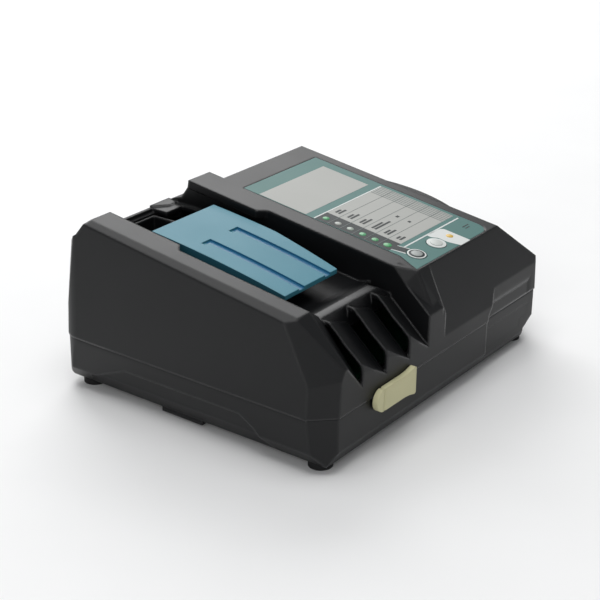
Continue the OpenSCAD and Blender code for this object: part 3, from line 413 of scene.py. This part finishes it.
# two bars in each row, a mark in two of them, and a note of two bars at the front right
bm = bmesh.new()
for y, width in zip(rows, bar_widths):
    x = table_left + bar_inset
    rectangle(bm, x, x + width, y - bar_far, y - bar_near, 2)
    rectangle(bm, x, x + width * short_bar, y + bar_near, y + bar_far, 2)
for y, width in ((rows[1], 1.6), (rows[2], 2.0)):
    rectangle(bm, mark_x, mark_x + width, y - 0.8, y + 0.6, 2)
rectangle(bm, note_x, note_x + 5, button_y + 0.6, button_y + 1.2)
rectangle(bm, note_x, note_x + 3.5, button_y - 1.0, button_y - 0.4)
printed(bm, "label_bars", print_dark)

# white rules above and below the table, the two lines beside the sound key's neck, and the flag that runs
# from the USB button past the amber lamp to the front edge
bm = bmesh.new()
rectangle(bm, border, table_right, table_high + 0.1, table_high + 0.8)
rectangle(bm, lamp_x + 3.2, table_right, table_low - 3.2, table_low - 2.4)
field(bm, [(lamp_x - 2.6, table_low), (sound_x - 3.8, button_y + 3.4), (sound_x - 3.1, button_y + 4.0),
           (lamp_x - 2.0, table_low)])
field(bm, [(lamp_x + 2.6, table_low), (sound_x + 1.4, button_y + 4.9), (sound_x + 2.1, button_y + 4.7),
           (lamp_x + 3.2, table_low)])
field(bm, [(service_x - 4.0, front + 0.6), (service_x + 4.2, front + 0.6),
           (service_x + 4.2, button_y + 5.4), (service_x + 2.8, button_y + 6.8),
           (service_x - 3.0, button_y + 7.6), (usb_x + 3.4, button_y + 7.2), (usb_x + 3.4, button_y + 4.9),
           (usb_x + 5.4, button_y + 2.2), (usb_x + 5.4, button_y - 2.6)])
printed(bm, "label_white_print", print_white)

# the neck from the lamp column to the sound key; it stays clear of the key, which sinks
bm = bmesh.new()
field(bm, [(lamp_x - 2.0, table_low), (sound_x - 3.1, button_y + 4.0), (sound_x - 0.9, button_y + 5.0),
           (sound_x + 1.4, button_y + 4.9), (lamp_x + 2.6, table_low)], 2)
printed(bm, "label_key_neck", print_dark)

# ---- lamps ------------------------------------------------------------------
# Six moulded lenses of tinted acrylic in a column, four green and two clear, and an amber one on the flag.
# They are milky inside and satin outside, with a low dome each.
lens_colours = ("#3f9a5d", "#57a06c", "#5aa474", "#9aa39b", "#a0a29e", "#4b9c66")
lens_r, first_lens_r, amber_lens_r = 1.7, 2.0, 1.8  # mm
lens_rise, lens_lift = 0.4, 0.02        # a dome's height, and its middle above the label, mm
acrylic = bpy.data.materials.new("tinted acrylic lens")
acrylic.use_nodes = True
tree = acrylic.node_tree
shader = tree.nodes["Principled BSDF"]
shader.inputs["Roughness"].default_value = 0.4
shader.inputs["Coat Weight"].default_value = 0.15
coord = add(tree, "TexCoord")
place = add(tree, "SeparateXYZ", [(coord, "Object", "Vector")])
along = add(tree, "MapRange", [(place, "Y", "Value")], From_Min=table_low * MM, From_Max=table_high * MM)
tints = add(tree, "ValToRGB", [(along, "Result", "Fac")])
tints.color_ramp.interpolation = "CONSTANT"
stops = tints.color_ramp.elements
for i, code in enumerate(lens_colours):
    stop = stops[0] if i == 0 else stops.new(i / len(lens_colours))
    stop.position = i / len(lens_colours)
    stop.color = linear(code)
stops.remove(stops[-1])                 # the ramp's own last stop
amber = add(tree, "Math", [(place, "X", 0)], operation="GREATER_THAN")
amber.inputs[1].default_value = usb_x * MM
colour = add(tree, "Mix", [(amber, "Value", "Factor"), (tints, "Color", 6)], data_type="RGBA")
colour.inputs[7].default_value = linear("#d9b04a")
haze = add(tree, "TexNoise", [(coord, "Object", "Vector")], Scale=2500.0)
milky = add(tree, "Mix", [(haze, "Fac", "Factor"), (colour, 2, 6)], data_type="RGBA", blend_type="MULTIPLY")
milky.inputs[7].default_value = (0.8, 0.85, 0.8, 1)
tree.links.new(milky.outputs[2], shader.inputs["Base Color"])
finish(acrylic, "lamp_windows")

bm = bmesh.new()
lens_places = [(lamp_x, y, first_lens_r if y == rows[0] else lens_r) for y in rows]
for x, y, radius in lens_places + [(service_x, button_y, amber_lens_r)]:
    dome = bmesh.ops.create_uvsphere(bm, u_segments=20, v_segments=12, radius=1)["verts"]
    bmesh.ops.scale(bm, vec=(radius, radius, lens_rise), verts=dome)
    bmesh.ops.translate(bm, vec=(x, slope(y), lens_lift), verts=dome)
bmesh.ops.transform(bm, matrix=ON_TOP, verts=bm.verts)
keep(bm, made("lamp_lenses", acrylic), "case", 60)

# ---- buttons ----------------------------------------------------------------
# Two moulded push buttons in round holes of the label, faced with the same film. Each has one or two printed
# discs and a low disc of moulded ABS on top, grey on the sound button and white on the USB button.
face_height = 0.2                       # a button's face above the label, mm
rim_share = 0.6                         # share of a disc's rise that the rounding of its rim takes
grey_abs = moulded("grey ABS, moulded", "#8f9492", 0.4, edge=0.4, highlight_level=0.1)
white_abs = moulded("white ABS, moulded", "#b9bdb9", 0.4, edge=0.4, highlight_level=0.05)
# each disc's radius and rise in mm, and its material, from the widest up
sound_discs = ((4.4, 0.06, print_white), (3.7, 0.12, print_dark), (2.7, 0.34, grey_abs))
usb_discs = ((4.6, 0.06, print_white), (3.0, 0.34, white_abs))
finish(film, "sound_button", "usb_button")
for name, x, body, slot, discs in (("sound_button", sound_x, "sound_key", "grey_button", sound_discs),
                                   ("usb_button", usb_x, "usb_key", "pale_button", usb_discs)):
    for number, (radius, rise, material) in enumerate(discs):
        bm = bmesh.new()
        disc = bmesh.ops.create_cone(bm, segments=48, radius1=radius, radius2=radius,
                                     depth=face_height + rise, cap_ends=True)["verts"]
        bmesh.ops.translate(bm, vec=(x, slope(button_y), (face_height + rise) / 2), verts=disc)
        top = max(bm.faces, key=lambda face: face.calc_center_median().z)
        bmesh.ops.bevel(bm, geom=list(top.edges), offset=rise * rim_share, segments=3, profile=0.5,
                        affect="EDGES", material=-1)
        bmesh.ops.transform(bm, matrix=ON_TOP, verts=bm.verts)
        keep(bm, made("%s_disc_%d" % (name, number + 1), material), body, 50)

# ---- USB outlet -------------------------------------------------------------
# Pressed steel socket on its own board, closed by a cap of cream thermoplastic rubber that swings on its left
# end; the rubber is soft to the eye, with hardly any gloss.
rubber = moulded("cream thermoplastic rubber, moulded", "#cbc7a0", 0.66, edge=0.9, grain=0.7, relief=0.3,
                 highlight_level=0.05, spec=0.35)
finish(steel, "usb_socket")
finish(rubber, "usb_cap", "cap_anchor")

# ---- boards and parts on them -----------------------------------------------
# Glass epoxy boards under a green solder mask, with the mains parts that stand on the main one and the
# screws that hold the boards and the case.
mask = moulded("green solder mask on glass epoxy", "#1d5a38", 0.35, edge=0.2, grain=1.6, relief=0.15,
               highlight_level=0.2)
finish(mask, "panel_board", "usb_board", "main_board")
ferrite = moulded("sintered ferrite", "#2b2b2d", 0.75, edge=0.5, relief=0.3)
tape = moulded("yellow polyester tape", "#d6ac3c", 0.35, edge=0.4, grain=2.0)
aluminium = moulded("extruded aluminium", "#b4b6b8", 0.38, edge=0.25, grain=0.6, metal=1, highlight_level=0.1)
sleeve = moulded("blue PVC sleeve", "#1d2240", 0.3, edge=0.8)
copper = moulded("enamelled copper wire", "#9a4f26", 0.3, edge=0.5, grain=1.1, relief=0.8, metal=1, highlight_level=0.1)
finish(ferrite, "transformer_core")
finish(tape, "transformer_winding", "filter_capacitor")
finish(aluminium, "heatsink")
finish(sleeve, "bulk_capacitor")
finish(copper, "smoothing_choke")
finish(contact, "mains_fuse")
finish(steel, "panel_board_screws", "board_screws", "case_screws")

# ---- feet and gland ---------------------------------------------------------
# Black nitrile rubber, dull beside the nylon: four feet pressed into the base, and the gland for the mains
# lead in the rear wall.
nitrile = moulded("black nitrile rubber, moulded", "#161617", 0.75, edge=0.6, relief=0.3, highlight_level=0.1, spec=0.35)
finish(nitrile, "rubber_feet", "cord_gland")
